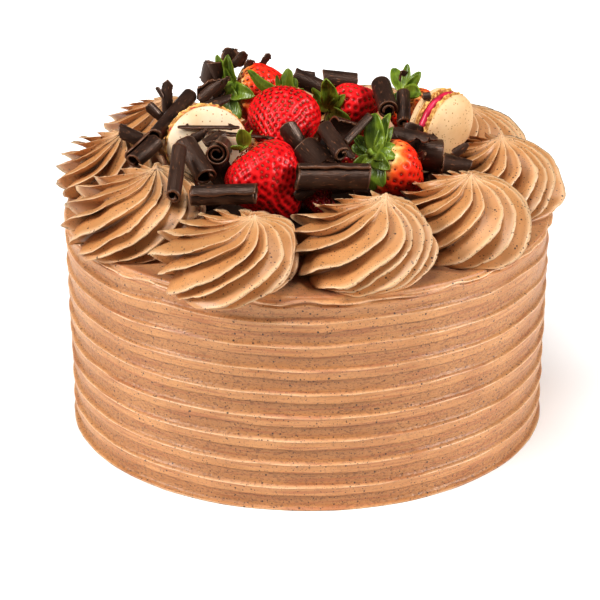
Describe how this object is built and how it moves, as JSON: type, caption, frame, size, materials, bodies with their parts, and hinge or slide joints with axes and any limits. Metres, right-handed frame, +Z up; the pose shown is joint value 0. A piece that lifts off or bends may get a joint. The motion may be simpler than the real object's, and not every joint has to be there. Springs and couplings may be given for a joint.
{
  "type": "chocolate mousse cake",
  "caption": "Round cake with a combed side, a ring of piped rosettes round its top, and a heap of strawberries, macarons and chocolate curls in the middle.",
  "frame": {"origin": "middle of the flat base, on the surface the cake stands on", "axes": "+Z up along the cake's axis; -Y towards the front, the side shown; +X to the right as seen from the front"},
  "size_m": [0.2088, 0.2122, 0.146],
  "materials": {
    "cream": "soft whipped chocolate cream, satin",
    "berry": "ripe strawberry, moist and glossy",
    "pale_berry": "orange-red strawberry with a pale shoulder, moist",
    "leaf": "fresh green sepal, satin",
    "shell": "baked almond shell, eggshell matte",
    "filling": "berry cream, satin",
    "chocolate": "dark chocolate, satin with fine flecks"
  },
  "bodies": {
    "root": {"cake_body": "cream", "rosette_01": "cream", "rosette_02": "cream", "rosette_03": "cream", "rosette_04": "cream", "rosette_05": "cream", "rosette_06": "cream", "rosette_07": "cream", "rosette_08": "cream", "rosette_09": "cream", "rosette_10": "cream", "strawberry_back_left": "berry", "strawberry_back_right": "berry", "strawberry_far_right": "pale_berry", "strawberry_front": "berry", "strawberry_inner": "berry", "strawberry_low_front": "berry", "strawberry_middle": "berry", "strawberry_right": "berry", "strawberry_right_front": "pale_berry", "strawberry_top": "pale_berry", "calyx_far_right": "leaf", "calyx_front": "leaf", "calyx_middle": "leaf", "calyx_right": "leaf", "calyx_right_front": "leaf", "calyx_top": "leaf", "macaron_left_back_shell": "shell", "macaron_left_filling": "filling", "macaron_left_front_shell": "shell", "macaron_right_back_shell": "shell", "macaron_right_filling": "filling", "macaron_right_front_shell": "shell", "roll_back": "chocolate", "roll_big_front": "chocolate", "roll_brown": "chocolate", "roll_end_on": "chocolate", "roll_leaning": "chocolate", "roll_long_left": "chocolate", "roll_low_front": "chocolate", "roll_middle_left": "chocolate", "roll_open_left": "chocolate", "roll_right": "chocolate", "roll_tall_right": "chocolate", "roll_thin_right": "chocolate", "curl_arch_left": "chocolate", "curl_back": "chocolate", "curl_cone_top": "chocolate", "curl_dark_right": "chocolate", "cone_plate": "chocolate", "cone_right": "chocolate", "flake_dark_open": "chocolate", "flake_matte": "chocolate", "flake_top": "chocolate", "plate_right": "chocolate", "shard_dark_left": "chocolate", "shard_left": "chocolate", "shard_upright": "chocolate", "stick_lower": "chocolate", "stick_upper": "chocolate"}
  },
  "joints": []
}
